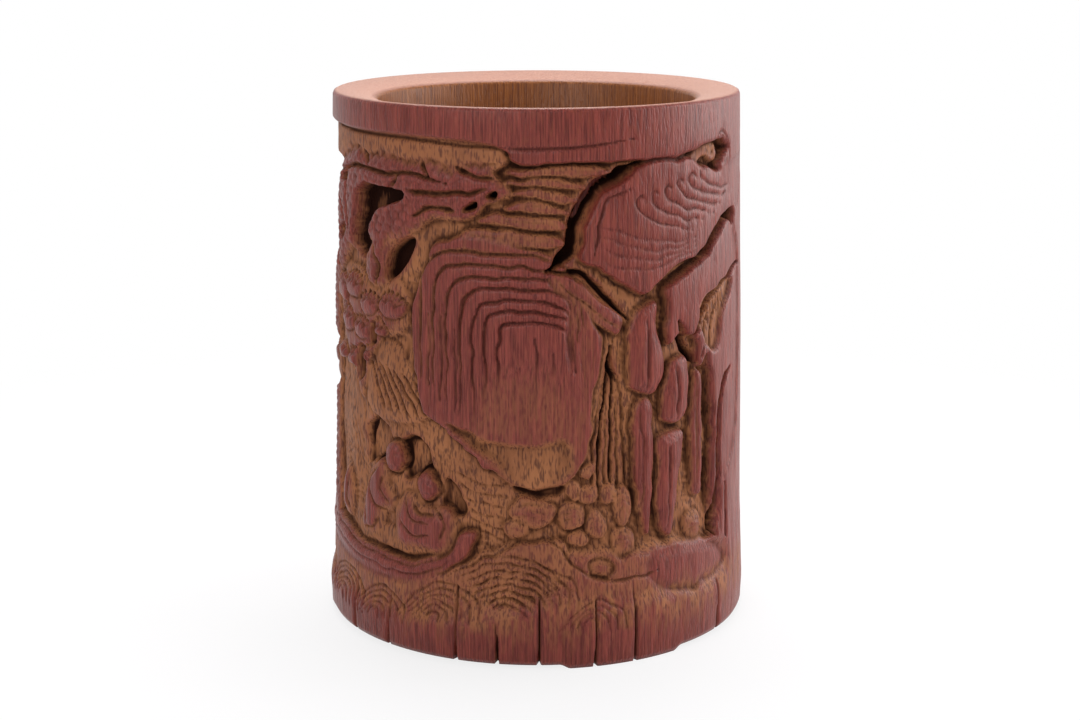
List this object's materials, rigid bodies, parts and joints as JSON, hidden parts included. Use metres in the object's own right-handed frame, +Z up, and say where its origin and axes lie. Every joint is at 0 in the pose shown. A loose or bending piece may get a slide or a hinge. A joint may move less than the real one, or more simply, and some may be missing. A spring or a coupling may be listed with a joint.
{
  "type": "brush pot",
  "caption": "Cylindrical bamboo brush pot with a landscape carved in relief round its outside, a thick plain rim and a turned floor.",
  "frame": {"origin": "centre of the ring that the pot stands on", "axes": "+Z up the pot's axis, -Y towards the side pictured, +X to the right as pictured"},
  "size_m": [0.1214, 0.1214, 0.15],
  "materials": {
    "bamboo_skin": "satin patina over carved bamboo",
    "floor_hardwood": "waxed hardwood"
  },
  "bodies": {
    "root": {"carved_culm_wall": "bamboo_skin", "floor_disc": "floor_hardwood"}
  },
  "joints": []
}
